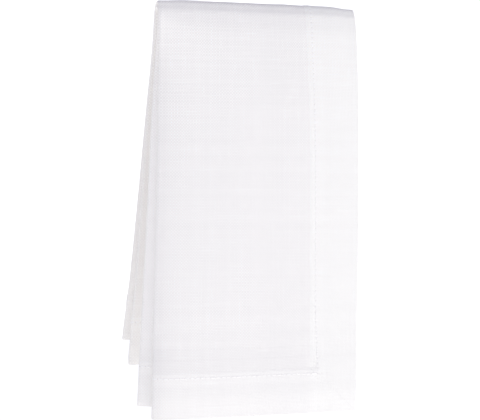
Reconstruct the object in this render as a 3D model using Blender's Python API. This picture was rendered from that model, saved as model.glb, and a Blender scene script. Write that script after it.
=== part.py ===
"""Square hemmed cloth, pleated into four layers and doubled over so that it hangs in two halves.

Metres, +Z up. The origin is the middle of the crease's inside, where a rail would carry the cloth.
The longer half hangs in front, facing -Y, and the shorter one hangs behind it.
"""

import math

import bmesh
import bpy

# The cloth as it was cut and hemmed
CLOTH_SIDE = 0.500
PLAIN_THICKNESS = 0.0010
HEM_THICKNESS = 0.0013
SIDE_HEM = 0.033
END_HEM = 0.030
HEM_STEP = 0.006
LAYER_GAP = 0.0006

# How its two halves hang from the rail. Each leans out, less so LEAN_RUN below the rail, and swings
# to the left, by swing metres per metre once it is well past its onset below the rail.
RAIL_RADIUS = 0.003
LEAN_RUN = 0.240
HALVES = {
    "front": {
        "side": -1.0,
        "lean": math.radians(3.0),
        "low_lean": math.radians(0.3),
        "swing": 0.0300,
        "onset": 0.020,
    },
    "back": {
        "side": 1.0,
        "lean": math.radians(8.0),
        "low_lean": math.radians(3.0),
        "swing": 0.0963,
        "onset": 0.060,
    },
}

# The lines across the pleated strip, from its outer hem edge to its inner one. Each crosses the crest
# at x_crest, slants by slant (metres per metre) towards the back, and hangs front_drop and back_drop.
LINE_FIELDS = ("name", "x_crest", "slant", "front_drop", "back_drop")
LINE_ROWS = (
    ("outer hem edge", 0.0668, -0.0150, 0.2617, 0.2151),
    ("first fold", -0.0684, 0.0000, 0.2611, 0.2151),
    ("second fold", 0.0510, 0.0140, 0.2570, 0.2228),
    ("third fold", -0.0701, 0.0290, 0.2525, 0.2305),
)
INNER_HEM_SLANT = 0.0450

# Soft unevenness of the hanging halves
CURL_DEPTH = 0.0045
CURL_FROM = 0.020
CURL_WIDTH = 0.060
CURL_DROP = 0.260
RIPPLE_ROWS = (
    # half, depth, waves per metre across, waves per metre down, phase
    ("front", 0.0009, 5.2, 2.1, 0.6),
    ("front", 0.0005, 9.5, -4.4, 2.3),
    ("back", 0.0015, 4.6, 3.0, 3.4),
    ("back", 0.0007, 8.3, -5.1, 1.2),
)
RIPPLE_ONSET = 0.060

# Mesh spacing
HEM_COLUMNS = 3
PLAIN_COLUMNS = 9
FOLD_COLUMNS = 5
ARC_ROWS = 10
PLAIN_ROWS = {"front": 10, "back": 8}
ROWS_FROM_HEM = (0.0, 0.012, 0.024, 0.030, 0.038, 0.047)

CLOTH_COLOUR = (0.86, 0.86, 0.87, 1.0)
CLOTH_ROUGHNESS = 0.9


def mix(a, b, t):
    return a + (b - a) * t


def smooth(t):
    """0 below 0, 1 above 1, and a soft S between."""
    t = min(max(t, 0.0), 1.0)
    return t * t * (3.0 - 2.0 * t)


def lines():
    """The strip's five lines. The last one, the inner hem edge, takes what is left of the cloth."""
    found = [dict(zip(LINE_FIELDS, row)) for row in LINE_ROWS]
    fold_radius = (PLAIN_THICKNESS + LAYER_GAP) / 2
    around_fold = (math.pi - 2.0) * fold_radius
    used = sum(abs(b["x_crest"] - a["x_crest"]) + around_fold for a, b in zip(found, found[1:]))
    last = found[-1]
    inner = dict(last, name="inner hem edge", slant=INNER_HEM_SLANT)
    inner["x_crest"] = last["x_crest"] + CLOTH_SIDE - used
    return found + [inner]


def thickness(to_end, to_side):
    """The sheet's thickness, by its distance to the nearest end hem and to its side hem."""
    hem = max(smooth((END_HEM - to_end) / HEM_STEP), smooth((SIDE_HEM - to_side) / HEM_STEP))
    return mix(PLAIN_THICKNESS, HEM_THICKNESS, hem)


def stations():
    """The rows of the mesh along the strip: (part, position), from the front hem to the back hem.

    The position is a share of the line's drop on the two halves, and an angle round the rail.
    """
    lean_in, lean_out = HALVES["front"]["lean"], math.pi - HALVES["back"]["lean"]
    arc = [("arc", mix(lean_in, lean_out, i / ARC_ROWS)) for i in range(ARC_ROWS + 1)]
    return list(reversed(half_stations("front"))) + arc + half_stations("back")


def half_stations(half):
    """The rows of one half from the roll down, closer together near the hem."""
    drop = lines()[0][half + "_drop"]
    near_hem = [(half, 1.0 - from_hem / drop) for from_hem in reversed(ROWS_FROM_HEM)]
    plain_to = near_hem[0][1]
    count = PLAIN_ROWS[half]
    return [(half, plain_to * i / count) for i in range(1, count)] + near_hem


def unevenness(half, x, down):
    """How far a half stands out from its smooth hang, the same for all its layers."""
    ease = smooth(down / RIPPLE_ONSET)
    out = 0.0
    for of_half, depth, across, along, phase in RIPPLE_ROWS:
        if of_half == half:
            out += depth * math.sin(2.0 * math.pi * (across * x + along * down) + phase)
    if half == "front":
        out -= CURL_DEPTH * smooth((x - CURL_FROM) / CURL_WIDTH) * smooth(down / CURL_DROP) ** 2
    return ease * out


def hang(half, depth, x, down):
    """(y, z) of a point that lies depth out from the rail's centre and hangs down from the roll."""
    lean = HALVES[half]["lean"]
    bend = (HALVES[half]["low_lean"] - lean) / LEAN_RUN
    angle = lean + bend * down
    out = (math.cos(lean) - math.cos(angle)) / bend
    fall = (math.sin(angle) - math.sin(lean)) / bend
    depth += unevenness(half, x, down)
    y = HALVES[half]["side"] * (out + depth * math.cos(angle))
    return y, depth * math.sin(angle) - fall - RAIL_RADIUS


def place(line, x_offset, depth, station):
    """The point of a line of the strip, at a station along it, x_offset to the side of the line."""
    part, at = station
    x = line["x_crest"] + x_offset
    if part == "arc":
        return (x, -depth * math.cos(at), depth * math.sin(at) - RAIL_RADIUS)
    down = line[part + "_drop"] * at
    x += HALVES[part]["side"] * line["slant"] * down
    x -= HALVES[part]["swing"] * down * down / (down + HALVES[part]["onset"])
    y, z = hang(part, depth, x, down)
    return (x, y, z)


def between(a, b, t):
    """A line part of the way from one line to the next."""
    return {key: mix(a[key], b[key], t) for key in LINE_FIELDS[1:]}


def layer_fractions(width, hem_first, hem_last):
    """Where the columns of a layer lie across it, with some more in a layer that has a side hem."""
    hem = [(SIDE_HEM - HEM_STEP) / width * i / HEM_COLUMNS for i in range(HEM_COLUMNS + 1)]
    before = hem if hem_first else []
    after = [1.0 - place for place in reversed(hem)] if hem_last else []
    plain_from = SIDE_HEM / width if hem_first else 0.0
    plain_to = 1.0 - SIDE_HEM / width if hem_last else 1.0
    plain = [mix(plain_from, plain_to, i / PLAIN_COLUMNS) for i in range(PLAIN_COLUMNS + 1)]
    return before + plain + after


def line_of_layer(layer, x, strip):
    """The line of a layer that crosses the crest at x, or its nearest edge."""
    a, b = strip[layer], strip[layer + 1]
    share = (x - a["x_crest"]) / (b["x_crest"] - a["x_crest"])
    return between(a, b, min(max(share, 0.0), 1.0))


def wall_of_layer(layer, x, part, down, strip):
    """A layer's thickness at a place. Only the outer and the inner layer have a side hem."""
    to_end = CLOTH_SIDE
    if part != "arc":
        to_end = line_of_layer(layer, x, strip)[part + "_drop"] - down
    to_side = CLOTH_SIDE
    if layer == 0:
        to_side = abs(strip[0]["x_crest"] - x)
    elif layer == len(strip) - 2:
        to_side = abs(strip[-1]["x_crest"] - x)
    return thickness(to_end, to_side)


def layer_at(layer, line, station, strip):
    """(depth of the middle, thickness) of a layer: each lies on the one inside it, a little apart."""
    part, at = station
    down = 0.0 if part == "arc" else line[part + "_drop"] * at
    x = line["x_crest"]
    depth = RAIL_RADIUS
    for below in range(len(strip) - 2, layer, -1):
        depth += wall_of_layer(below, x, part, down, strip) + LAYER_GAP
    wall = wall_of_layer(layer, x, part, down, strip)
    return depth + wall / 2, wall


def section(station, strip):
    """One back-and-forth section of the layers: a list of (point, thickness) from hem to hem."""
    points = []
    last = len(strip) - 2
    fold_before = 0.0
    for layer in range(last + 1):
        a, b = strip[layer], strip[layer + 1]
        across = b["x_crest"] - a["x_crest"]
        way = math.copysign(1.0, across)
        fold_after = 0.0 if layer == last else fold_radius(layer, b, station, strip)
        for share in layer_fractions(abs(across), layer == 0, layer == last):
            line = between(a, b, share)
            depth, wall = layer_at(layer, line, station, strip)
            offset = way * mix(fold_before, -fold_after, share)
            points.append((place(line, offset, depth, station), wall))
        if layer < last:
            points += fold(layer, b, way, station, strip)
        fold_before = fold_after
    return points


def fold_radius(layer, line, station, strip):
    """The radius of the fold that joins a layer to the next one in."""
    outer, _ = layer_at(layer, line, station, strip)
    inner, _ = layer_at(layer + 1, line, station, strip)
    return (outer - inner) / 2


def fold(layer, line, way, station, strip):
    """The half turn from a layer to the next one in, without its two ends."""
    radius = fold_radius(layer, line, station, strip)
    depth, wall = layer_at(layer, line, station, strip)
    points = []
    for i in range(1, FOLD_COLUMNS):
        turn = math.pi * i / FOLD_COLUMNS
        offset = way * (math.sin(turn) - 1.0) * radius
        points.append((place(line, offset, depth - radius * (1.0 - math.cos(turn)), station), wall))
    return points


def linen():
    material = bpy.data.materials.new("white_linen")
    material.use_nodes = True
    shader = material.node_tree.nodes["Principled BSDF"]
    shader.inputs["Base Color"].default_value = CLOTH_COLOUR
    shader.inputs["Roughness"].default_value = CLOTH_ROUGHNESS
    shader.inputs["Metallic"].default_value = 0.0
    return material


def tablecloth():
    """The sheet's middle surface, swept from the front hem over the rail to the back hem, then thickened."""
    strip = lines()
    rows = [section(station, strip) for station in stations()]
    sheet = bmesh.new()
    grid = [[sheet.verts.new(point) for point, _ in row] for row in rows]
    for row, above in zip(grid, grid[1:]):
        for i in range(len(row) - 1):
            sheet.faces.new((row[i], above[i], above[i + 1], row[i + 1]))
    mesh = bpy.data.meshes.new("tablecloth")
    sheet.to_mesh(mesh)
    sheet.free()
    mesh.shade_smooth()
    cloth = bpy.data.objects.new("tablecloth", mesh)
    bpy.context.collection.objects.link(cloth)
    mesh.materials.append(linen())
    share = cloth.vertex_groups.new(name="thickness")
    walls = [wall for row in rows for _, wall in row]
    for index, wall in enumerate(walls):
        share.add([index], wall / HEM_THICKNESS, "REPLACE")
    solid = cloth.modifiers.new("thickness", "SOLIDIFY")
    solid.thickness = HEM_THICKNESS
    solid.offset = 0.0
    solid.use_even_offset = True
    solid.vertex_group = share.name
    return cloth


def build():
    for leftover in list(bpy.data.objects):
        bpy.data.objects.remove(leftover)
    tablecloth()


build()
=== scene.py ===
import math

import bpy
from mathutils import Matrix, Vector, noise


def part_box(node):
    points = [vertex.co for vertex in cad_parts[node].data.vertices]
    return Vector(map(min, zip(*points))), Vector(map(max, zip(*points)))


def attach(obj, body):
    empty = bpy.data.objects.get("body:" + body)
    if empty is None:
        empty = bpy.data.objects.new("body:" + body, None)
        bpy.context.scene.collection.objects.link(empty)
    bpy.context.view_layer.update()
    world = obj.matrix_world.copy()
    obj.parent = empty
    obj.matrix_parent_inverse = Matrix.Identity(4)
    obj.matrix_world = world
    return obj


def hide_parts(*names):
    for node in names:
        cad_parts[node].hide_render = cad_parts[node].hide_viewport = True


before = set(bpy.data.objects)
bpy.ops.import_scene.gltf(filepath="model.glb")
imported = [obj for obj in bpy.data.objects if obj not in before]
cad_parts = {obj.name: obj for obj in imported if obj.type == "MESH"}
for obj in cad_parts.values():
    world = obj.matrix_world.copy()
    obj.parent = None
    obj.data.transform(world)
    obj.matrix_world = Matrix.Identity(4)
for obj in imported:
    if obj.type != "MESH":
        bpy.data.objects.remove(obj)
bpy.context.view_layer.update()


# ----------------------------------------------------------------------------------------------
# The cloth. One square of white plain-weave linen, hemmed on all four sides with mitred corners.
# It is pleated back and forth into four layers, and the strip is doubled over a thin rail, so that
# a longer half hangs in front and a shorter one behind. All four layers are one sheet.

CLOTH_SIDE = 0.500
SIDE_HEM = 0.033
END_HEM = 0.030
HEM_EASE = 0.006

# The spacing of the layers, as thickness and gap, that the folded solid has. Each layer lies CLOSER
# to the next one near the left folds, where they were pressed, and also PRESSED just below the roll.
# Right on the roll the layers are a little LOOSE. The front half's left folds bend back by
# FOLDS_BACK, and aside by a share of it, and the outer layer's free right end SAGs below the roll.
PLAIN_SPACE = 0.0010
HEM_SPACE = 0.0013
LAYER_GAP = 0.0006
CLOSER = 0.00060
CLOSER_RUN = 0.018
CLOSER_ONSET = 0.035
CLOSER_ON_RAIL = 0.5
CLOSER_HEMS = (0.00030, 0.0, 0.00030)
FOLDS_BACK = 0.0034
FOLDS_BACK_RUN = 0.014
FOLDS_BACK_SLOPE = 1.75
FOLDS_ASIDE = 0.25
PRESSED = 0.00060
PRESSED_FROM = 0.009
PRESSED_TO = 0.026
PRESSED_FADE = 0.017
LOOSE = 0.00016
LOOSE_TO = 0.040
LOOSE_RUN = 0.030
ROLL_RADIUS = 0.009
SAG = 0.0013
SAG_FROM = 0.0505
SAG_RUN = 0.015
SAG_DROP = 0.050

# How the two halves hang from the rail. Each leans out, less so LEAN_RUN below the rail, and swings
# to the left, by swing metres per metre once it is well past its onset below the rail.
RAIL_RADIUS = 0.003
LEAN_RUN = 0.240
HALVES = {
    "front": {
        "side": -1.0,
        "lean": math.radians(3.0),
        "low_lean": math.radians(0.3),
        "swing": 0.0300,
        "onset": 0.020,
    },
    "back": {
        "side": 1.0,
        "lean": math.radians(8.0),
        "low_lean": math.radians(3.0),
        "swing": 0.0963,
        "onset": 0.060,
    },
}

# The lines across the pleated strip, from its outer hem edge inwards. Each crosses the crest at
# x_crest, slants by slant (metres per metre) towards the back, and hangs front_drop and back_drop.
# Over the rail it lies tucked to the right by the last number, less so down to TUCK_DROP below.
LINE_FIELDS = ("name", "x_crest", "slant", "front_drop", "back_drop", "tucked")
TUCK_DROP = 0.080
LINE_ROWS = (
    ("outer hem edge", 0.0688, -0.0150, 0.2617, 0.2151, -0.0012),
    ("first fold", -0.0684, 0.0000, 0.2620, 0.2151, 0.0),
    ("second fold", 0.0510, 0.0140, 0.2570, 0.2228, 0.0),
    ("third fold", -0.0701, 0.0290, 0.2536, 0.2315, 0.0014),
)
INNER_HEM_SLANT = 0.0450

# The unevenness of each half, the same for all its layers.
CURL_DEPTH = 0.0045
CURL_FROM = 0.020
CURL_WIDTH = 0.060
CURL_DROP = 0.260
HEM_CURL = 0.0016
HEM_CURL_FROM = 0.246
HEM_CURL_RUN = 0.018
RIPPLE_ROWS = (
    # half, depth, waves per metre across, waves per metre down, phase
    ("front", 0.0009, 5.2, 2.1, 0.6),
    ("front", 0.0005, 9.5, -4.4, 2.3),
    ("back", 0.0015, 4.6, 3.0, 3.4),
    ("back", 0.0007, 8.3, -5.1, 1.2),
)
RIPPLE_ONSET = 0.060

# The cloth itself: its plies and how far each step between them runs, the hem's turned-in raw edge,
# the puff of the hem beside its inner fold, and the rounding of the sheet's outer edges, where the
# root of EDGE_LEAST of the thickness is left.
PLY = 0.00070
SECOND_PLY = 0.00018
THIRD_PLY = 0.00010
PLY_RUN = 0.0008
TURNED_IN = 0.0085
TURNED_RUN = 0.0016
PUFF = 0.00006
PUFF_RUN = 0.0015
EDGE_ROUND = 0.0008
EDGE_LEAST = 0.12

# The stitches' distances from the edges and the trough they lie in, the puckers that they draw up
# along the hems, the dimple that they draw in at each inner corner, and the sheet's own softness.
# Puckers and softness have waves per metre along and across the stitches.
SIDE_STITCH = 0.0293
END_STITCH = 0.0265
STITCH_TROUGH = 0.00006
TROUGH_WIDTH = 0.0008
PUCKER = 0.00007
PUCKER_WIDTH = 0.012
PUCKERS_ALONG = 110.0
PUCKERS_ACROSS = 30.0
DIMPLE = 0.00090
DIMPLE_WIDTH = 0.0028
DIMPLE_ASIDE = 0.001
SOFTNESS = 0.00007
SOFT_WAVES = 95.0
SOFT_SEED = 4.0
SIDE_SEED = 8.0
END_SEED = 12.0

# The side hems were turned a little unevenly: how far from the edge their inner fold and their
# stitches lie, by the distance to the end hem's edge.
UNEVEN_ROWS = (
    # to end, inner fold, stitches
    (0.000, 0.0326, 0.0273),
    (0.030, 0.0331, 0.0280),
    (0.075, 0.0340, 0.0302),
    (0.250, 0.0366, 0.0329),
)
UNEVEN_FADE = 0.040

# The pressed folds: how far each rounds over, and half the distance that its two layers are pinched
# to, on plain cloth and between the hems of the first, second and third fold. The pinch reaches
# PINCH_WIDTH into the layers. The inside of a fold fills a share of its room, and its corners at the
# end hems are round.
FOLD_REACH = 0.0018
FOLD_HALF = 0.00080
FOLD_HALF_HEMS = (0.00062, 0.00088, 0.00062)
PINCH_WIDTH = 0.008
FOLD_FILLED = 0.58
CORNER_ROUND = 0.0016

# The spacing of the sheet's points: by the folds, at a hem's edge, turned-in edge, stitches (in widths
# of their trough) and inner fold, and evenly between those places.
FOLD_COLUMNS = 10
MARKS_BY_FOLD = (0.0, 0.0012, 0.003, 0.0055)
MARKS_AT_EDGE = (0.0, 0.00012, 0.00035, 0.0008, 0.0022)
MARKS_AT_TURN = (-0.0008, 0.0, 0.0009, 0.0024)
MARKS_AT_STITCH = (-2.2, -1.1, -0.5, 0.0, 0.5, 1.1, 2.2)
MARKS_AT_STEP = (-0.0012, -0.0005, -0.0002, 0.0, 0.0002, 0.0007, 0.0022)
STEP_CLEAR = 0.0015
LEAST_SPACING = 0.0004
HEM_FROM = 0.0050
HEM_TO_TURN = 0.001
HEM_SPACING = 0.0036
BEYOND_HEM = 0.002
COLUMN_SPACING = 0.0042
ROW_SPACING = 0.0046
BY_RAIL = 0.008
BY_RAIL_SPACING = 0.002
RAIL_SPACING = 0.0010


def mix(a, b, t):
    return a + (b - a) * t


def smooth(t):
    """0 below 0, 1 above 1, and a soft S between."""
    t = min(max(t, 0.0), 1.0)
    return t * t * (3.0 - 2.0 * t)


def bell(distance, width):
    return math.exp(-(distance / width) ** 2)


def strip_lines():
    """The strip's five lines. The last one, the inner hem edge, takes what is left of the cloth."""
    found = [dict(zip(LINE_FIELDS, row)) for row in LINE_ROWS]
    around_fold = (math.pi - 2.0) * (PLAIN_SPACE + LAYER_GAP) / 2
    used = sum(abs(b["x_crest"] - a["x_crest"]) + around_fold for a, b in zip(found, found[1:]))
    inner = dict(found[-1], name="inner hem edge", slant=INNER_HEM_SLANT)
    inner["x_crest"] += CLOTH_SIDE - used
    return found + [inner]


STRIP = strip_lines()
LAST_LAYER = len(STRIP) - 2
FRONT_RUN = STRIP[1]["front_drop"]
BACK_RUN = STRIP[1]["back_drop"]
OVER_RAIL = CLOTH_SIDE - FRONT_RUN - BACK_RUN


def lengths_across():
    """The runs of the cloth from its outer hem edge to its inner one: (is a fold, layer, from, to)."""
    found = []
    at = 0.0
    for layer in range(LAST_LAYER + 1):
        width = abs(STRIP[layer + 1]["x_crest"] - STRIP[layer]["x_crest"])
        width -= FOLD_REACH * ((layer > 0) + (layer < LAST_LAYER))
        found.append((False, layer, at, at + width))
        at += width
        if layer < LAST_LAYER:
            half_height = (PLAIN_SPACE + LAYER_GAP) / 2
            turn = math.pi * math.sqrt((FOLD_REACH**2 + half_height**2) / 2)
            found.append((True, layer, at, at + turn))
            at += turn
    scale = CLOTH_SIDE / at
    return [(fold, layer, a * scale, b * scale) for fold, layer, a, b in found]


RUNS = lengths_across()


def across_at(p):
    """Where a point p metres in from the outer hem edge lies: (is a fold, layer, share of its run)."""
    for fold, layer, start, end in RUNS:
        if p <= end or (layer == LAST_LAYER and not fold):
            return fold, layer, min(max((p - start) / (end - start), 0.0), 1.0)


def along_at(q):
    """Where a point q metres up from the front hem lies: (front, arc or back, position there)."""
    if q < FRONT_RUN:
        return "front", 1.0 - q / FRONT_RUN
    q -= FRONT_RUN
    if q <= OVER_RAIL:
        lean_in, lean_out = HALVES["front"]["lean"], math.pi - HALVES["back"]["lean"]
        return "arc", mix(lean_in, lean_out, q / OVER_RAIL)
    return "back", (q - OVER_RAIL) / BACK_RUN


def unevenness(half, x, down):
    """How far a half stands out from its smooth hang."""
    ease = smooth(down / RIPPLE_ONSET)
    out = 0.0
    for of_half, depth, across, along, phase in RIPPLE_ROWS:
        if of_half == half:
            out += depth * math.sin(2.0 * math.pi * (across * x + along * down) + phase)
    if half == "front":
        out -= CURL_DEPTH * smooth((x - CURL_FROM) / CURL_WIDTH) * smooth(down / CURL_DROP) ** 2
        out -= HEM_CURL * smooth((down - HEM_CURL_FROM) / HEM_CURL_RUN)
    return ease * out


def hang(half, depth, x, down):
    """(y, z) of a point that lies depth out from the rail's centre and hangs down from the roll."""
    lean = HALVES[half]["lean"]
    bend = (HALVES[half]["low_lean"] - lean) / LEAN_RUN
    angle = lean + bend * down
    out = (math.cos(lean) - math.cos(angle)) / bend
    fall = (math.sin(angle) - math.sin(lean)) / bend
    depth += unevenness(half, x, down)
    y = HALVES[half]["side"] * (out + depth * math.cos(angle))
    return y, depth * math.sin(angle) - fall - RAIL_RADIUS


def folds_back(to_fold):
    """How far the layers bend in at their left folds, going on straight to the left of the first one."""
    share = max(1.0 - to_fold / FOLDS_BACK_RUN, 0.0)
    if share < 1.0:
        return FOLDS_BACK * share**3
    return FOLDS_BACK * (FOLDS_BACK_SLOPE * share - (FOLDS_BACK_SLOPE - 1.0))


def place(line, x_offset, depth, station):
    """The point of a line of the strip, at a station along it, x_offset to the side of the line."""
    part, at = station
    x = line["x_crest"] + x_offset
    if part == "arc":
        x += line["tucked"]
        return Vector((x, -depth * math.cos(at), depth * math.sin(at) - RAIL_RADIUS))
    down = line[part + "_drop"] * at
    x += HALVES[part]["side"] * line["slant"] * down
    if part == "front":
        back = folds_back(x - STRIP[1]["x_crest"]) * smooth(down / CLOSER_ONSET)
        depth -= back
        x += FOLDS_ASIDE * back
    x += line["tucked"] * smooth(1.0 - down / TUCK_DROP)
    x -= HALVES[part]["swing"] * down * down / (down + HALVES[part]["onset"])
    y, z = hang(part, depth, x, down)
    return Vector((x, y, z))


def between(a, b, t):
    """A line part of the way from one line to the next."""
    return {key: mix(a[key], b[key], t) for key in LINE_FIELDS[1:]}


def line_of_layer(layer, x):
    """The line of a layer that crosses the crest at x, or its nearest edge."""
    a, b = STRIP[layer], STRIP[layer + 1]
    share = (x - a["x_crest"]) / (b["x_crest"] - a["x_crest"])
    return between(a, b, min(max(share, 0.0), 1.0))


def hem_share(side, end):
    """1 on a hem, easing to 0 over HEM_EASE beyond it."""
    on_end = smooth((END_HEM + HEM_EASE - end) / HEM_EASE)
    on_side = smooth((SIDE_HEM + HEM_EASE - side) / HEM_EASE)
    return max(on_end, on_side)


def hem_of_layer(layer, x, part, down):
    """The hem share of a layer at a place. Only the outer and the inner layer have a side hem."""
    to_end = CLOTH_SIDE
    if part != "arc":
        to_end = line_of_layer(layer, x)[part + "_drop"] - down
    to_side = CLOTH_SIDE
    if layer == 0:
        to_side = abs(STRIP[0]["x_crest"] - x)
    elif layer == LAST_LAYER:
        to_side = abs(STRIP[-1]["x_crest"] - x)
    return hem_share(to_side, to_end)


def round_the_roll(part, at, down):
    """How far a place is from the crest, along the roll's outside."""
    if part == "arc":
        return ROLL_RADIUS * abs(at - math.pi / 2)
    return ROLL_RADIUS * (math.pi / 2 - HALVES[part]["lean"]) + down


def depth_of_layer(layer, line, station):
    """The depth of a layer's middle: each layer lies on the one inside it, a little apart."""
    part, at = station
    down = 0.0 if part == "arc" else line[part + "_drop"] * at
    x = line["x_crest"]
    to_fold = x - STRIP[1]["x_crest"]
    if part != "arc":
        to_fold += HALVES[part]["side"] * line["slant"] * down
    near_folds = smooth(1.0 - to_fold / CLOSER_RUN)
    near_folds *= mix(CLOSER_ON_RAIL, 1.0, smooth(down / CLOSER_ONSET))
    from_crest = round_the_roll(part, at, down)
    pressed = smooth(from_crest / PRESSED_FROM) * smooth((PRESSED_TO - from_crest) / PRESSED_FADE)
    loose = smooth(1.0 - from_crest / PRESSED_FROM) * smooth((LOOSE_TO - x) / LOOSE_RUN)
    hem = hem_of_layer(layer, x, part, down)
    depth = RAIL_RADIUS + mix(PLAIN_SPACE, HEM_SPACE, hem) / 2
    if layer == 0:
        depth -= SAG * smooth((x - SAG_FROM) / SAG_RUN) * smooth(1.0 - down / SAG_DROP)
    for below in range(layer + 1, LAST_LAYER + 1):
        hem_above = hem
        hem = hem_of_layer(below, x, part, down)
        closer = near_folds * mix(CLOSER, CLOSER_HEMS[below - 1], max(hem, hem_above))
        depth += mix(PLAIN_SPACE, HEM_SPACE, hem) + LAYER_GAP - max(closer, PRESSED * pressed)
        depth += LOOSE * loose
    return depth


def fold_half(fold, to_end):
    """Half the height of a fold's half turn."""
    return mix(FOLD_HALF, FOLD_HALF_HEMS[fold], hem_share(CLOTH_SIDE, to_end))


def half_turn(fold, station, to_end):
    """The depth of the middle of a fold's half turn, and half its height."""
    line = STRIP[fold + 1]
    outer, inner = depth_of_layer(fold, line, station), depth_of_layer(fold + 1, line, station)
    return (outer + inner) / 2, min(fold_half(fold, to_end), (outer - inner) / 2)


def middle(p, q):
    """The middle of the sheet at p metres in from its outer hem edge and q metres from its front hem."""
    fold, layer, share = across_at(p)
    station = along_at(q)
    a, b = STRIP[layer], STRIP[layer + 1]
    way = math.copysign(1.0, b["x_crest"] - a["x_crest"])
    to_end = min(q, CLOTH_SIDE - q)
    inset = CORNER_ROUND - math.sqrt(CORNER_ROUND**2 - max(CORNER_ROUND - to_end, 0.0) ** 2)
    if fold:
        depth, half_height = half_turn(layer, station, to_end)
        turn = math.pi * share
        offset = way * ((math.sin(turn) - 1.0) * FOLD_REACH - inset)
        return place(b, offset, depth + half_height * math.cos(turn), station)
    line = between(a, b, share)
    reach_a = FOLD_REACH if layer > 0 else 0.0
    reach_b = FOLD_REACH if layer < LAST_LAYER else 0.0
    offset = way * mix(reach_a, -reach_b, share)
    depth = depth_of_layer(layer, line, station)
    width = abs(b["x_crest"] - a["x_crest"])
    if layer > 0:
        near = smooth(1.0 - share * width / PINCH_WIDTH)
        apart = depth_of_layer(layer - 1, line, station) - depth
        depth += near * max(apart / 2 - fold_half(layer - 1, to_end), 0.0)
        offset += way * near * inset
    if layer < LAST_LAYER:
        near = smooth(1.0 - (1.0 - share) * width / PINCH_WIDTH)
        apart = depth - depth_of_layer(layer + 1, line, station)
        depth -= near * max(apart / 2 - fold_half(layer, to_end), 0.0)
        offset -= way * near * inset
    return place(line, offset, depth, station)


def uneven(s, q):
    """The p of a point that lies at s on a cloth with even side hems, of SIDE_HEM and SIDE_STITCH."""
    if s > CLOTH_SIDE / 2:
        return CLOTH_SIDE - uneven(CLOTH_SIDE - s, q)
    end = min(q, CLOTH_SIDE - q)
    for (low, fold_low, stitch_low), (high, fold_high, stitch_high) in zip(UNEVEN_ROWS, UNEVEN_ROWS[1:]):
        if end <= high:
            break
    share = (end - low) / (high - low)
    fold, stitch = mix(fold_low, fold_high, share), mix(stitch_low, stitch_high, share)
    if s < SIDE_STITCH:
        return s * stitch / SIDE_STITCH
    if s < SIDE_HEM:
        return mix(stitch, fold, (s - SIDE_STITCH) / (SIDE_HEM - SIDE_STITCH))
    return s + (fold - SIDE_HEM) * smooth(1.0 - (s - SIDE_HEM) / UNEVEN_FADE)


def to_edges(s, q):
    """How far a point of the even cloth is from its nearer side edge and from its nearer end edge."""
    return min(s, CLOTH_SIDE - s), min(q, CLOTH_SIDE - q)


def from_fold(s, q):
    """How far a point lies outside the hem's inner fold, and so within the hem."""
    side, end = to_edges(s, q)
    return max(SIDE_HEM - side, END_HEM - end)


def plies(s, q):
    """The sheet's thickness. The hem is two plies, and three where its raw edge is turned in."""
    hem = from_fold(s, q)
    to_stitches = max(SIDE_HEM - SIDE_STITCH, END_HEM - END_STITCH)
    wall = PLY
    wall += SECOND_PLY * smooth(hem / PLY_RUN + 0.5)
    wall += THIRD_PLY * smooth(hem / PLY_RUN) * smooth((TURNED_IN - hem) / TURNED_RUN)
    wall += PUFF * smooth(hem / PUFF_RUN) * smooth(2.0 - hem / to_stitches)
    rounding = min(min(to_edges(s, q)) / EDGE_ROUND, 1.0)
    return wall * math.sqrt(max(rounding * (2.0 - rounding), EDGE_LEAST))


def soft_plies(s, q):
    """The same without its crisp steps, as the smooth face of the hem shows it."""
    return PLY + SECOND_PLY * hem_share(*to_edges(s, q))


def stitch_pull(s, q):
    """How far the stitches pull each face of the sheet in."""
    side, end = to_edges(s, q)
    deep = 0.0
    if end > END_STITCH - 2.0 * TROUGH_WIDTH:
        deep = bell(side - SIDE_STITCH, TROUGH_WIDTH)
    if side > SIDE_STITCH - 2.0 * TROUGH_WIDTH:
        deep = max(deep, bell(end - END_STITCH, TROUGH_WIDTH))
    return STITCH_TROUGH * deep


def pucker(s, q):
    """The small waves along the hems, drawn up by their stitches, and the sheet's own softness."""
    side, end = to_edges(s, q)
    wave = noise.noise(Vector((s * SOFT_WAVES, q * SOFT_WAVES, SOFT_SEED)))
    side_wave = noise.noise(Vector((side * PUCKERS_ACROSS, q * PUCKERS_ALONG, SIDE_SEED)))
    end_wave = noise.noise(Vector((s * PUCKERS_ALONG, end * PUCKERS_ACROSS, END_SEED)))
    along_side = bell(side - SIDE_STITCH, PUCKER_WIDTH) * side_wave
    along_end = bell(end - END_STITCH, PUCKER_WIDTH) * end_wave
    corner = math.hypot(side - SIDE_HEM + DIMPLE_ASIDE, end - END_HEM - DIMPLE_ASIDE)
    dimple = DIMPLE * bell(corner, DIMPLE_WIDTH)
    return SOFTNESS * wave + PUCKER * (along_side + along_end) - dimple


def sheet_normal(p, q):
    """The direction out of the face that the hems are turned onto."""
    step = 0.0002
    a, b = max(p - step, 0.0), min(p + step, CLOTH_SIDE)
    c, d = max(q - step, 0.0), min(q + step, CLOTH_SIDE)
    return (middle(p, d) - middle(p, c)).cross(middle(b, q) - middle(a, q)).normalized()


def room_in_fold(half, share):
    """How far the middle plane of a half turn is from its sheet, at a share of its way round."""
    turn = math.pi * share
    return half * math.hypot(half / FOLD_REACH * math.sin(turn), math.cos(turn))


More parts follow.
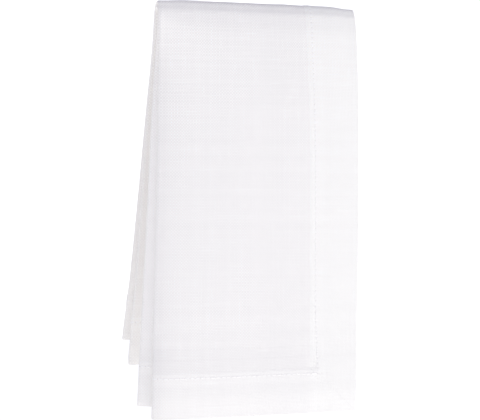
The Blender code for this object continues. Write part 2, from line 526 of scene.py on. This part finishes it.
def faces_at(s, q):
    """(point on the hemmed face, point on the smooth face, direction out of the hemmed face)."""
    p = uneven(s, q)
    out = sheet_normal(p, q)
    centre = middle(p, q) + out * pucker(s, q)
    pull = stitch_pull(s, q)
    soft = soft_plies(s, q) / 2
    whole = plies(s, q)
    hemmed = whole - min(soft, whole / 2) - pull
    smooth_side = min(soft, whole / 2) - pull
    fold, layer, share = across_at(p)
    if fold:
        _, half = half_turn(layer, along_at(q), min(q, CLOTH_SIDE - q))
        tight = FOLD_FILLED * room_in_fold(half, share)
        if layer % 2:
            hemmed = min(hemmed, tight)
        else:
            smooth_side = min(smooth_side, tight)
    return centre + out * hemmed, centre - out * smooth_side, out


def marks(start, end, spacing):
    """Evenly spaced places from start up to, and without, end."""
    count = max(1, round((end - start) / spacing))
    return [mix(start, end, i / count) for i in range(count)]


def hem_marks(hem, stitch):
    """Distances from a hem's edge to its rows of points, closer at its edge, stitches and fold."""
    turned = hem - TURNED_IN
    found = [*MARKS_AT_EDGE, *marks(HEM_FROM, turned - HEM_TO_TURN, HEM_SPACING)]
    found += [turned + at for at in MARKS_AT_TURN]
    by_stitch = [stitch + TROUGH_WIDTH * at for at in MARKS_AT_STITCH]
    if by_stitch[-1] > hem - STEP_CLEAR:
        by_stitch.pop()
    found += by_stitch
    found += [hem + at for at in MARKS_AT_STEP if hem + at > by_stitch[-1] + LEAST_SPACING]
    return sorted(found)


def point_columns():
    """The s of each column of points: fine at the side hems and folds, even between them."""
    near = hem_marks(SIDE_HEM, SIDE_STITCH)
    found = []
    for fold, layer, start, end in RUNS:
        if fold:
            found += marks(start, end, (end - start) / FOLD_COLUMNS)
            continue
        first = near[-1] + BEYOND_HEM
        last = CLOTH_SIDE - near[-1] - BEYOND_HEM
        if layer > 0:
            found += [start + at for at in MARKS_BY_FOLD[:-1]]
            first = start + MARKS_BY_FOLD[-1]
        if layer < LAST_LAYER:
            found += [end - at for at in MARKS_BY_FOLD[1:-1]]
            last = end - MARKS_BY_FOLD[-1]
        found += marks(first, last, COLUMN_SPACING) + [last]
    return sorted(near + found + [CLOTH_SIDE - at for at in near])


def point_rows():
    """The q of each row of points, finer over the rail and at the end hems."""
    near = hem_marks(END_HEM, END_STITCH)
    found = near + [CLOTH_SIDE - at for at in near]
    rail_end = FRONT_RUN + OVER_RAIL
    found += marks(near[-1] + BEYOND_HEM, FRONT_RUN - BY_RAIL, ROW_SPACING)
    found += marks(FRONT_RUN - BY_RAIL, FRONT_RUN, BY_RAIL_SPACING)
    found += marks(FRONT_RUN, rail_end, RAIL_SPACING)
    found += marks(rail_end, rail_end + BY_RAIL, BY_RAIL_SPACING)
    found += marks(rail_end + BY_RAIL, CLOTH_SIDE - near[-1] - BEYOND_HEM, ROW_SPACING)
    return sorted(found)


def make_cloth():
    """Both faces of the sheet as rows of four-sided faces, closed all round by its edges."""
    columns, rows = point_columns(), point_rows()
    wide, last = len(columns), len(rows) - 1
    points, flat = [], []
    for q in rows:
        for s in columns:
            hemmed, smooth_side, _ = faces_at(s, q)
            points += [hemmed, smooth_side]
            flat += [(s, q), (s, q)]

    def index(at, face):
        row, column = at
        return 2 * (row * wide + column) + face

    faces = []
    for i in range(last):
        for j in range(wide - 1):
            ring = [(i, j), (i + 1, j), (i + 1, j + 1), (i, j + 1)]
            faces.append([index(at, 0) for at in ring])
            faces.append([index(at, 1) for at in ring[:1] + ring[:0:-1]])
    rim = [(0, j) for j in range(wide)] + [(i, wide - 1) for i in range(1, last + 1)]
    rim += [(last, j) for j in range(wide - 2, -1, -1)] + [(i, 0) for i in range(last - 1, 0, -1)]
    for here, there in zip(rim, rim[1:] + rim[:1]):
        faces.append([index(here, 0), index(there, 0), index(there, 1), index(here, 1)])

    mesh = bpy.data.meshes.new("cloth")
    mesh.from_pydata(points, [], faces)
    uv = mesh.uv_layers.new(name="cloth")
    for loop in mesh.loops:
        uv.data[loop.index].uv = flat[loop.vertex_index]
    turned_onto = mesh.attributes.new("turned onto", "FLOAT", "POINT")
    turned_onto.data.foreach_set("value", [1.0, 0.0] * (len(points) // 2))
    mesh.shade_smooth()
    mesh.update()
    sheet = bpy.data.objects.new("cloth", mesh)
    bpy.context.collection.objects.link(sheet)
    return sheet


cloth = make_cloth()


# ----------------------------------------------------------------------------------------------
# The cloth's finish: bleached linen in a plain weave, about one thread to a millimetre each way.
# Its yarns are uneven, with thick slubs, and the doubled hems let less light through. The faint even
# glow is painted light, standing in for the light that passes through the thin layers and that they pass
# on to each other.

# The yarns wander by WANDER and tremble by TREMBLE. A yarn is rounded, dips between the yarns that
# it crosses, and bulges in its slubs. WANDERS, TREMBLES, SLUBS and FUZZES are counts per metre. Each
# yarn's slubs come from a place of its own in their noise, WARP_APART or WEFT_APART from the next.
WARP_PITCH = 0.00095
WEFT_PITCH = 0.00098
WANDER = 0.0010
WANDERS = 30.0
TREMBLE = 0.00026
TREMBLES = 240.0
YARN_ROUND = 0.6
YARN_DIP = 0.45
SLUBS = 55.0
SLUB_RANGE = (0.60, 0.74)
SLUB_BULGE = 0.25
WARP_APART = 7.31
WEFT_APART = 5.77
WARP_SEED = 2.0
WEFT_SEED = 9.0
WEFT_TONES = 517.0
FUZZ = 0.25
FUZZES = 2600.0
BUMP_HEIGHT = 0.0003
BUMP_SHARE = 0.5
LINEN_ROUGHNESS = 0.92
LINEN_SPECULAR = 0.25

# The marks of the sewing: the step at the hem's inner fold, a painted highlight just inside it, the seam
# of the mitre, painted shade on the round place that the stitches' corner draws in, and the needle
# holes, dark with painted shade, which run on past the corner by one stitch on the side hems and by two
# on the end hems.
FOLD_STEP = (-0.0001, 0.0002)
FOLD_HIGHLIGHT = (0.0006, 0.0018)
TURNED_SOFT = 0.001
END_DOUBLED = 0.3
MITRE_SEAM = (0.0001, 0.0006)
MITRE_FROM = 0.0004
CORNER_SHADE_SIDE = SIDE_HEM - 0.0015
CORNER_SHADE_END = END_HEM + 0.0029
CORNER_SHADE = (0.0025, 0.0048)
STITCH_LENGTH = 0.0034
HOLE_RADIUS = 0.00050
HOLE_HEART = 0.45
SIDE_HOLES_PAST = 0.0035
END_HOLES_PAST = 0.0070
HOLES_SOFT = 0.0005

# The cloth's colours, and how far each of its marks takes it from its shade towards its white. The
# yarns' crowns and the warp where it lies on top are painted light; the gaps between the yarns, the
# needle holes and the drawn-in inner corners are painted shade, and the hem's fold carries a painted
# highlight. The last two are relief, as a share of the yarns' height.
LINEN_WHITE = (0.994, 0.976, 0.941, 1.0)
HEM_WHITE = (0.984, 0.976, 0.932, 1.0)
LINEN_SHADE = (0.500, 0.486, 0.482, 1.0)
PAINTED_GLOW_COLOUR = (0.98, 0.965, 0.970, 1.0)
PAINTED_GLOW_STRENGTH = 0.14
PLAIN_LIT = 0.72
WARP_PAINTED_LIGHT = 0.07
PATCH_PAINTED_LIGHT = 0.15
MEAN_HEIGHT = 0.75
PAINTED_CROWN_LIGHT = 0.14
PAINTED_GAP_SHADE = -0.12
YARN_LIT = 0.09
SLUB_LIT = 0.07
DOUBLED_LIT = 0.060
FOLD_HIGHLIGHT_LIT = 0.030
TURNED_LIT = 0.02
MITRE_LIT = -0.05
HOLE_PAINTED_SHADE = -0.40
MITRE_RELIEF = -0.6
HOLE_RELIEF = -0.8


class Shade:
    """One value in a material. An operator on it adds a Math node, and node() adds any other."""

    def __init__(self, tree, socket=None):
        self.tree = tree
        self.socket = socket

    def node(self, kind, settings=(), inputs=(), out=0):
        made = self.tree.nodes.new(kind)
        for name, value in dict(settings).items():
            setattr(made, name, value)
        for name, value in dict(inputs).items():
            if isinstance(value, Shade):
                self.tree.links.new(value.socket, made.inputs[name])
            else:
                made.inputs[name].default_value = value
        return Shade(self.tree, made.outputs[out])

    def math(self, operation, *values):
        return self.node("ShaderNodeMath", {"operation": operation}, enumerate(values))

    def __add__(self, other):
        return self.math("ADD", self, other)

    __radd__ = __add__

    def __sub__(self, other):
        return self.math("SUBTRACT", self, other)

    def __rsub__(self, other):
        return self.math("SUBTRACT", other, self)

    def __mul__(self, other):
        return self.math("MULTIPLY", self, other)

    __rmul__ = __mul__

    def __truediv__(self, other):
        return self.math("DIVIDE", self, other)

    def __pow__(self, other):
        return self.math("POWER", self, other)

    def floor(self):
        return self.math("FLOOR", self)

    def fraction(self):
        return self.math("FRACT", self)

    def ramp(self, low, high):
        """0 up to low, 1 from high on, and a soft S between."""
        settings = {"interpolation_type": "SMOOTHSTEP"}
        inputs = {"Value": self, "From Min": low, "From Max": high}
        return self.node("ShaderNodeMapRange", settings, inputs)

    def to(self, other, share):
        """This value turned into the other one by a share."""
        return self + (other - self) * share

    def vector(self, *parts):
        return self.node("ShaderNodeCombineXYZ", (), enumerate(parts))

    def noise(self, where, scale, detail=2.0):
        inputs = {"Vector": where, "Scale": scale, "Detail": detail, "Roughness": 0.55}
        return self.node("ShaderNodeTexNoise", (), inputs)

    def parts(self):
        """The X, Y and Z of a vector, or a colour's three channels."""
        split = self.node("ShaderNodeSeparateXYZ", (), {"Vector": self})
        return [Shade(self.tree, output) for output in split.socket.node.outputs]

    def largest(self, other):
        return self.math("MAXIMUM", self, other)

    def smallest(self, other):
        return self.math("MINIMUM", self, other)

    def colour(self, share, first, second):
        """One colour turned into another by a share."""
        inputs = {0: share, 6: first, 7: second}
        return self.node("ShaderNodeMix", {"data_type": "RGBA"}, inputs, out=2)


def hump(across):
    """The rounded section of a yarn, as a function of the place across it."""
    return across.math("SINE", across.fraction() * math.pi)


def needle_holes(line, along, first, run):
    """1 in the needle holes of a line of stitches, by the distance from the line and along it."""
    pitch = run / round(run / STITCH_LENGTH)
    aside = (((along - first) / pitch + 0.5).fraction() - 0.5) * pitch
    from_hole = (line * line + aside * aside) ** 0.5
    return 1.0 - from_hole.ramp(HOLE_RADIUS * HOLE_HEART, HOLE_RADIUS)


def yarn_body(own_round, other_round, slub):
    """The height of a yarn's outer face, from its own roundness and that of the yarns it crosses."""
    dip = other_round * YARN_DIP + (1.0 - YARN_DIP)
    return (own_round ** YARN_ROUND) * dip + slub * SLUB_BULGE


def linen_finish():
    material = bpy.data.materials.new("white linen")
    material.use_nodes = True
    tree = material.node_tree
    shader = tree.nodes["Principled BSDF"]
    start = Shade(tree)
    flat = start.node("ShaderNodeUVMap", {"uv_map": "cloth"})
    turned_onto = start.node("ShaderNodeAttribute", {"attribute_name": "turned onto"}, out=2)
    p, q, _ = flat.parts()

    slow = {"Vector": flat, "Scale": WANDERS, "Detail": 1.0}
    quick = {"Vector": flat, "Scale": TREMBLES, "Detail": 1.0}
    wander_p, wander_q, patch = start.node("ShaderNodeTexNoise", (), slow, out=1).parts()
    tremble_p, tremble_q, _ = start.node("ShaderNodeTexNoise", (), quick, out=1).parts()
    warp = (p + (wander_p - 0.5) * WANDER + (tremble_p - 0.5) * TREMBLE) / WARP_PITCH
    weft = (q + (wander_q - 0.5) * WANDER + (tremble_q - 0.5) * TREMBLE) / WEFT_PITCH
    warp_yarn, weft_yarn = warp.floor(), weft.floor()
    warp_over = ((warp_yarn + weft_yarn) * 0.5).fraction() * 2.0
    warp_round, weft_round = hump(warp), hump(weft)

    along_warp = start.vector(warp_yarn * WARP_APART, q * SLUBS, WARP_SEED)
    along_weft = start.vector(p * SLUBS, weft_yarn * WEFT_APART, WEFT_SEED)
    warp_slub = start.noise(along_warp, 1.0, 1.0).ramp(*SLUB_RANGE)
    weft_slub = start.noise(along_weft, 1.0, 1.0).ramp(*SLUB_RANGE)
    one_way = {"noise_dimensions": "1D"}
    warp_tone = start.node("ShaderNodeTexWhiteNoise", one_way, {"W": warp_yarn})
    weft_tone = start.node("ShaderNodeTexWhiteNoise", one_way, {"W": weft_yarn + WEFT_TONES})
    warp_body = yarn_body(warp_round, weft_round, warp_slub)
    weft_body = yarn_body(weft_round, warp_round, weft_slub)
    height = weft_body.to(warp_body, warp_over)
    slub = weft_slub.to(warp_slub, warp_over)
    tone = weft_tone.to(warp_tone, warp_over) - 0.5
    between_yarns = (1.0 - warp_round) * (1.0 - weft_round)

    side = p.smallest(CLOTH_SIDE - p)
    end = q.smallest(CLOTH_SIDE - q)
    in_hem = (SIDE_HEM - side).largest(END_HEM - end)
    hem = in_hem.ramp(*FOLD_STEP)
    turned_in = hem * (1.0 - in_hem.ramp(TURNED_IN - TURNED_SOFT, TURNED_IN + TURNED_SOFT))
    # A painted highlight just inside the hem's fold.
    fold_highlight = hem * (1.0 - in_hem.ramp(*FOLD_HIGHLIGHT))
    side_doubled = (SIDE_HEM - side).ramp(*FOLD_STEP)
    doubled = side_doubled.largest((END_HEM - end).ramp(*FOLD_STEP) * END_DOUBLED)
    # Painted shade at the round place by each inner corner of the hems, which the stitches draw in:
    # there the doubled hem's lightness and the fold's highlight are taken away.
    to_corner = ((side - CORNER_SHADE_SIDE) ** 2 + (end - CORNER_SHADE_END) ** 2) ** 0.5
    corner_shade = 1.0 - to_corner.ramp(*CORNER_SHADE)
    # The needle holes, which are darkened below with painted shade.
    side_holes = needle_holes(side - SIDE_STITCH, q, END_STITCH, CLOTH_SIDE - 2.0 * END_STITCH)
    end_holes = needle_holes(end - END_STITCH, p, SIDE_STITCH, CLOTH_SIDE - 2.0 * SIDE_STITCH)
    side_from, end_from = END_STITCH - SIDE_HOLES_PAST, SIDE_STITCH - END_HOLES_PAST
    side_holes = side_holes * end.ramp(side_from - HOLES_SOFT, side_from)
    end_holes = end_holes * side.ramp(end_from - HOLES_SOFT, end_from)
    holes = side_holes.largest(end_holes)
    to_mitre = start.math("ABSOLUTE", end * (SIDE_HEM / END_HEM) - side)
    in_corner = (SIDE_HEM - side).smallest(END_HEM - end).ramp(0.0, MITRE_FROM)
    mitre = (1.0 - to_mitre.ramp(*MITRE_SEAM)) * in_corner * turned_onto

    # How far each place goes from the shade colour to the white: the yarns' own tones and slubs, with
    # painted light on the yarns' crowns and the warp, painted shade in their gaps, the needle holes and
    # the inner corners, and a painted highlight along the hem's fold.
    lit = (
        PLAIN_LIT
        # Painted light: the warp shows lighter where it lies on top, more so in some patches.
        + (warp_over - 0.5) * (patch * PATCH_PAINTED_LIGHT + WARP_PAINTED_LIGHT)
        # Painted light on the yarns' crowns and painted shade between them.
        + (height - MEAN_HEIGHT) * PAINTED_CROWN_LIGHT
        + between_yarns * PAINTED_GAP_SHADE
        + tone * YARN_LIT
        + slub * SLUB_LIT
        + (doubled * DOUBLED_LIT + fold_highlight * FOLD_HIGHLIGHT_LIT) * (1.0 - corner_shade)
        + turned_in * TURNED_LIT
        + mitre * MITRE_LIT
        + holes * HOLE_PAINTED_SHADE
    )
    white = start.colour(doubled, LINEN_WHITE, HEM_WHITE)
    base = start.colour(lit, LINEN_SHADE, white)
    tree.links.new(base.socket, shader.inputs["Base Color"])

    fuzz = start.noise(flat, FUZZES, 1.0)
    relief = height + fuzz * FUZZ + mitre * MITRE_RELIEF + holes * HOLE_RELIEF
    inputs = {"Strength": BUMP_SHARE, "Distance": BUMP_HEIGHT, "Height": relief}
    bump = start.node("ShaderNodeBump", (), inputs)
    tree.links.new(bump.socket, shader.inputs["Normal"])
    shader.inputs["Roughness"].default_value = LINEN_ROUGHNESS
    shader.inputs["Specular IOR Level"].default_value = LINEN_SPECULAR
    # An even painted glow, standing in for the light that passes through the layers and between them.
    shader.inputs["Emission Color"].default_value = PAINTED_GLOW_COLOUR
    shader.inputs["Emission Strength"].default_value = PAINTED_GLOW_STRENGTH
    return material


cloth.data.materials.append(linen_finish())

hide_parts("tablecloth")
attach(cloth, "root")


# ----------------------------------------------------------------------------------------------
# The stitching: one line of white machine lockstitch along each hem, just inside the fold of its
# turned edge, through both faces. Each stitch lies in the cloth between two needle holes, and the
# four lines meet at the inner corners of the mitres, which they draw in a little.

THREAD_RADIUS = 0.00024
STITCH_SHARE = 0.86
STITCH_LIFT = 0.00020
STITCH_DIVE = 0.00030
STITCH_POINTS = 6
THREAD_SIDES = 6
THREAD_UNEVENNESS = 0.18
THREAD_SEED = 11
THREAD_WHITE = (0.975, 0.965, 0.955, 1.0)
THREAD_SHADE = (0.80, 0.790, 0.785, 1.0)
THREAD_MOTTLES = 900.0
THREAD_ROUGHNESS = 0.6
THREAD_SHEEN = 0.1


def stitch_line(side_line, first_edge):
    """The flat places (p, q) of each stitch's two ends, along one hem from corner to corner."""
    inset = SIDE_STITCH if side_line else END_STITCH
    start = END_STITCH if side_line else SIDE_STITCH
    run = CLOTH_SIDE - 2.0 * start
    count = round(run / STITCH_LENGTH)
    pitch = run / count
    across = inset if first_edge else CLOTH_SIDE - inset
    found = []
    for i in range(count):
        a, b = start + i * pitch, start + (i + 1) * pitch
        found.append(((across, a), (across, b)) if side_line else ((a, across), (b, across)))
    return found


def stitch_points(ends, face):
    """The middle line of one stitch, from needle hole to needle hole, following the folded cloth."""
    (pa, qa), (pb, qb) = ends
    points = []
    for i in range(STITCH_POINTS):
        t = i / (STITCH_POINTS - 1)
        along = 0.5 + (t - 0.5) * STITCH_SHARE
        hemmed, smooth_side, out = faces_at(mix(pa, pb, along), mix(qa, qb, along))
        arch = 1.0 - (2.0 * t - 1.0) ** 4
        lift = mix(-STITCH_DIVE, STITCH_LIFT, arch)
        points.append(hemmed + out * lift if face == 0 else smooth_side - out * lift)
    return points


def stitch_tree(material):
    """Turns each line of points into a length of thread, a little uneven in its radius."""
    tree = bpy.data.node_groups.new("stitches", "GeometryNodeTree")
    tree.interface.new_socket("Lines", in_out="INPUT", socket_type="NodeSocketGeometry")
    tree.interface.new_socket("Thread Radius", in_out="INPUT", socket_type="NodeSocketFloat")
    tree.interface.new_socket("Sides", in_out="INPUT", socket_type="NodeSocketInt")
    tree.interface.new_socket("Unevenness", in_out="INPUT", socket_type="NodeSocketFloat")
    tree.interface.new_socket("Thread", in_out="OUTPUT", socket_type="NodeSocketGeometry")
    given = tree.nodes.new("NodeGroupInput")
    result = tree.nodes.new("NodeGroupOutput")
    curve = tree.nodes.new("GeometryNodeMeshToCurve")
    radius = tree.nodes.new("GeometryNodeSetCurveRadius")
    thickness = tree.nodes.new("FunctionNodeRandomValue")
    thickness.data_type = "FLOAT"
    thickness.inputs[3].default_value = 1.0
    thickness.inputs["Seed"].default_value = THREAD_SEED
    thinnest = tree.nodes.new("ShaderNodeMath")
    thinnest.operation = "SUBTRACT"
    thinnest.inputs[0].default_value = 1.0
    ring = tree.nodes.new("GeometryNodeCurvePrimitiveCircle")
    sweep = tree.nodes.new("GeometryNodeCurveToMesh")
    sweep.inputs["Fill Caps"].default_value = True
    realize = tree.nodes.new("GeometryNodeRealizeInstances")
    finish = tree.nodes.new("GeometryNodeSetMaterial")
    finish.inputs["Material"].default_value = material
    link = tree.links.new
    link(given.outputs["Lines"], curve.inputs["Mesh"])
    link(given.outputs["Unevenness"], thinnest.inputs[1])
    link(thinnest.outputs[0], thickness.inputs[2])
    link(curve.outputs["Curve"], radius.inputs["Curve"])
    link(thickness.outputs[1], radius.inputs["Radius"])
    link(given.outputs["Thread Radius"], ring.inputs["Radius"])
    link(given.outputs["Sides"], ring.inputs["Resolution"])
    link(radius.outputs["Curve"], sweep.inputs["Curve"])
    link(ring.outputs["Curve"], sweep.inputs["Profile Curve"])
    link(sweep.outputs["Mesh"], realize.inputs["Geometry"])
    link(realize.outputs["Geometry"], finish.inputs["Geometry"])
    link(finish.outputs["Geometry"], result.inputs["Thread"])
    return tree


def thread_finish():
    material = bpy.data.materials.new("white thread")
    material.use_nodes = True
    tree = material.node_tree
    shader = tree.nodes["Principled BSDF"]
    start = Shade(tree)
    where = start.node("ShaderNodeTexCoord", out=3)
    tone = start.noise(where, THREAD_MOTTLES)
    base = start.colour(tone, THREAD_SHADE, THREAD_WHITE)
    tree.links.new(base.socket, shader.inputs["Base Color"])
    shader.inputs["Roughness"].default_value = THREAD_ROUGHNESS
    shader.inputs["Sheen Weight"].default_value = THREAD_SHEEN
    # The same painted glow as the cloth's, so that the thread is as bright as the linen around it.
    shader.inputs["Emission Color"].default_value = PAINTED_GLOW_COLOUR
    shader.inputs["Emission Strength"].default_value = PAINTED_GLOW_STRENGTH
    return material


def make_stitching():
    """The stitches of all four hems, on both faces of the cloth, as one mesh of short threads."""
    points, edges = [], []
    for side_line in (True, False):
        for first_edge in (True, False):
            for ends in stitch_line(side_line, first_edge):
                for face in (0, 1):
                    base = len(points)
                    points += stitch_points(ends, face)
                    edges += [(base + i, base + i + 1) for i in range(STITCH_POINTS - 1)]
    mesh = bpy.data.meshes.new("stitch lines")
    mesh.from_pydata(points, edges, [])
    threads = bpy.data.objects.new("hem_stitching", mesh)
    bpy.context.collection.objects.link(threads)
    tree = stitch_tree(thread_finish())
    sockets = {item.name: item.identifier for item in tree.interface.items_tree}
    modifier = threads.modifiers.new("stitches", "NODES")
    modifier.node_group = tree
    modifier[sockets["Thread Radius"]] = THREAD_RADIUS
    modifier[sockets["Sides"]] = THREAD_SIDES
    modifier[sockets["Unevenness"]] = THREAD_UNEVENNESS
    graph = bpy.context.evaluated_depsgraph_get()
    made = bpy.data.meshes.new_from_object(threads.evaluated_get(graph))
    threads.modifiers.clear()
    threads.data = made
    made.name = "hem_stitching"
    made.shade_smooth()
    return threads


stitching = make_stitching()

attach(stitching, "root")


# ----------------------------------------------------------------------------------------------
# The floor and the light. A plain pale floor lies well below the hanging cloth. The light is a white
# studio, brighter on the right, brightest behind the cloth on the right and much dimmer overhead, with
# one soft lamp low in front on the right.

FLOOR_DROP = 0.55
FLOOR_RADIUS = 7.0
FLOOR_SIDES = 96
FLOOR_GREY = (0.5, 0.5, 0.5, 1.0)
FLOOR_ROUGHNESS = 0.8
FLOOR_WHITE = (1.0, 1.0, 1.0, 1.0)
FLOOR_GLOW = 0.85

# The studio's light from each side, and over which part of the way across it turns into the next.
LEFT_LIGHT = (1.23, 1.23, 1.26, 1.0)
RIGHT_LIGHT = (1.47, 1.47, 1.47, 1.0)
LEFT_TO_RIGHT = (-0.90, 0.35)
BEHIND_LIGHT = (1.70, 1.70, 1.70, 1.0)
FRONT_TO_BEHIND = (-0.25, 0.25)
BEHIND_FROM_LEFT = (-0.35, 0.05)
OVERHEAD_LIGHT = (0.20, 0.20, 0.31, 1.0)
UP_TO_OVERHEAD = (-0.25, 0.80)
LAMP_PLACE = (1.00, -1.20, -0.50)
LAMP_SIZE = 0.8
LAMP_POWER = 4.0

cloth_low, cloth_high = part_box("tablecloth")


def make_floor():
    mesh = bpy.data.meshes.new("floor")
    height = cloth_low[2] - FLOOR_DROP
    ring = [2.0 * math.pi * i / FLOOR_SIDES for i in range(FLOOR_SIDES)]
    points = [(FLOOR_RADIUS * math.cos(a), FLOOR_RADIUS * math.sin(a), height) for a in ring]
    mesh.from_pydata(points, [], [list(range(len(points)))])
    floor = bpy.data.objects.new("floor", mesh)
    bpy.context.collection.objects.link(floor)
    material = bpy.data.materials.new("pale floor")
    material.use_nodes = True
    shader = material.node_tree.nodes["Principled BSDF"]
    shader.inputs["Base Color"].default_value = FLOOR_GREY
    shader.inputs["Roughness"].default_value = FLOOR_ROUGHNESS
    shader.inputs["Emission Color"].default_value = FLOOR_WHITE
    shader.inputs["Emission Strength"].default_value = FLOOR_GLOW
    mesh.materials.append(material)


def make_studio():
    world = bpy.data.worlds.new("studio")
    bpy.context.scene.world = world
    world.use_nodes = True
    tree = world.node_tree
    start = Shade(tree)
    rightward, away, up = start.node("ShaderNodeTexCoord", out=0).parts()
    front = start.colour(rightward.ramp(*LEFT_TO_RIGHT), LEFT_LIGHT, RIGHT_LIGHT)
    behind = away.ramp(*FRONT_TO_BEHIND) * rightward.ramp(*BEHIND_FROM_LEFT)
    level = start.colour(behind, front, BEHIND_LIGHT)
    light = start.colour(up.ramp(*UP_TO_OVERHEAD), level, OVERHEAD_LIGHT)
    tree.links.new(light.socket, tree.nodes["Background"].inputs["Color"])


def make_lamp():
    data = bpy.data.lights.new("low right lamp", "AREA")
    data.shape = "DISK"
    data.size = LAMP_SIZE
    data.energy = LAMP_POWER
    lamp = bpy.data.objects.new("low right lamp", data)
    lamp.location = LAMP_PLACE
    heart = (Vector(cloth_low) + Vector(cloth_high)) / 2
    lamp.rotation_euler = (heart - Vector(LAMP_PLACE)).to_track_quat("-Z", "Y").to_euler()
    bpy.context.collection.objects.link(lamp)


make_floor()
make_studio()
make_lamp()
bpy.context.scene.view_settings.view_transform = "Standard"


# ----------------------------------------------------------------------------------------------
# The camera: level, about a metre away, at the middle of the front half's height and 18 degrees to
# the left of the cloth's face.

CAMERA_TURN = math.radians(18.0)
CAMERA_DISTANCE = 0.973
CAMERA_LENS = 110.7
SENSOR = 36.0
AIM_X = -0.0119
AIM_Z = -0.1305

camera_data = bpy.data.cameras.new("camera")
camera_data.sensor_width = SENSOR
camera_data.lens = CAMERA_LENS
camera = bpy.data.objects.new("camera", camera_data)
aim = Vector((AIM_X, 0.0, AIM_Z))
looking = Vector((math.sin(CAMERA_TURN), math.cos(CAMERA_TURN), 0.0))
camera.location = aim - CAMERA_DISTANCE * looking
camera.rotation_euler = (math.pi / 2, 0.0, -CAMERA_TURN)
bpy.context.collection.objects.link(camera)
bpy.context.scene.camera = camera
